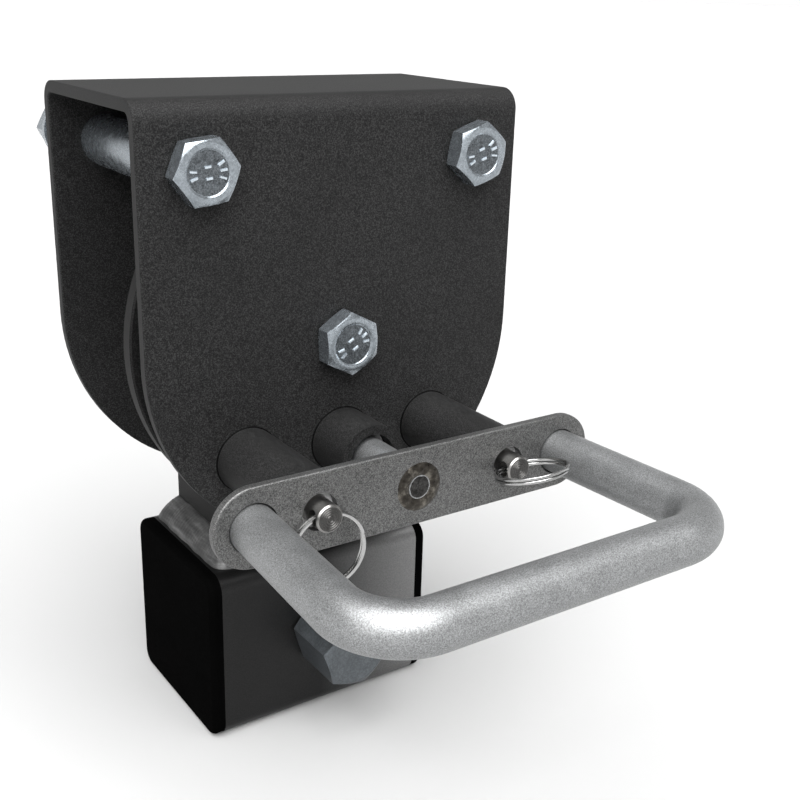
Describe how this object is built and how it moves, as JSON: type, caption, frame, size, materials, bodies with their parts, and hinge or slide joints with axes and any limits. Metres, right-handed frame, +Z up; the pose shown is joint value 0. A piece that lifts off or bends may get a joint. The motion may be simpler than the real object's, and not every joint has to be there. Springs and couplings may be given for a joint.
{
  "type": "indexing swivel coupler lock",
  "caption": "Indexing swivel lock: a channel housing on a pivot axle, held by sprung pins in a drilled disc and freed by pulling a bar handle.",
  "frame": {"origin": "centre of the cross tube's underside, where the carriage stands", "axes": "+Z up, +X along the cross tube and the pull handle's grip, +Y along the pivot axle from the lock pins' side to the stud's free end; the handle is pulled along -Y"},
  "size_m": [0.142, 0.2575, 0.23],
  "materials": {
    "black_steel": "satin black powder coat with a fine grain",
    "disc_steel": "satin black powder coat",
    "galvanised": "fine mottled galvanised grey",
    "weld": "plated weld bead",
    "plate_steel": "speckled plated sheet with bright cut edge",
    "zinc": "bright bluish zinc plate",
    "bright_steel": "turned steel",
    "nickel": "bright nickel",
    "black_plastic": "matte moulded black",
    "liner_plastic": "off-white bearing plastic"
  },
  "bodies": {
    "carriage": {"cross_tube": "galvanised", "end_cap_left": "black_plastic", "end_cap_right": "black_plastic", "neck": "disc_steel", "neck_weld": "weld", "pivot_bush": "disc_steel", "bush_liners": "liner_plastic", "index_disc": "disc_steel", "mounting_stud": "zinc", "stud_nut_tall": "zinc", "stud_washer": "zinc", "stud_nut_back": "zinc"},
    "housing": {"housing_channel": "black_steel", "boss_left": "black_steel", "boss_right": "black_steel", "boss_centre": "black_steel", "pin_guide_left": "liner_plastic", "pin_guide_right": "liner_plastic", "rod_bush": "liner_plastic", "pin_spring_left": "bright_steel", "pin_spring_right": "bright_steel", "top_bolts": "zinc", "spacer_sleeves": "zinc", "top_washers": "zinc", "top_nuts": "zinc", "axle_bolt": "zinc", "axle_washer": "zinc", "axle_nut": "zinc", "axle_sleeve": "bright_steel", "front_spacer_ring": "galvanised", "rear_spacer_ring": "galvanised"},
    "handle": {"handle_bar": "galvanised", "handle_plate": "plate_steel", "arm_welds": "weld", "guide_rod": "bright_steel", "plug_weld": "weld"},
    "left_pin": {"lock_pin_left": "bright_steel", "pin_collar_left": "bright_steel"},
    "right_pin": {"lock_pin_right": "bright_steel", "pin_collar_right": "bright_steel"},
    "left_ring": {"split_ring_left": "nickel"},
    "right_ring": {"split_ring_right": "nickel"}
  },
  "joints": [
    {"name": "housing_swivel", "type": "hinge", "parent": "carriage", "child": "housing", "pos_m": [0, 0, 0.15], "axis": [0, 1, 0], "range_deg": [-0.3, 0.3]},
    {"name": "handle_slide", "type": "slide", "parent": "housing", "child": "handle", "axis": [0, -1, 0], "range_m": [0, 0.016]},
    {"name": "left_pin_slide", "type": "slide", "parent": "housing", "child": "left_pin", "axis": [0, -1, 0], "range_m": [0, 0.016], "deforming": ["pin_spring_left"]},
    {"name": "right_pin_slide", "type": "slide", "parent": "housing", "child": "right_pin", "axis": [0, -1, 0], "range_m": [0, 0.016], "deforming": ["pin_spring_right"]},
    {"name": "left_ring_swing", "type": "hinge", "parent": "left_pin", "child": "left_ring", "pos_m": [-0.03606, -0.0931, 0.11394], "axis": [-1, 0, 0], "range_deg": [0, 165]},
    {"name": "right_ring_swing", "type": "hinge", "parent": "right_pin", "child": "right_ring", "pos_m": [0.03606, -0.0931, 0.11394], "axis": [-1, 0, 0], "range_deg": [-95, 60]}
  ],
  "couplings": [
    {"joint": "left_pin_slide", "follows": "handle_slide", "ratio": 1},
    {"joint": "right_pin_slide", "follows": "handle_slide", "ratio": 1}
  ]
}
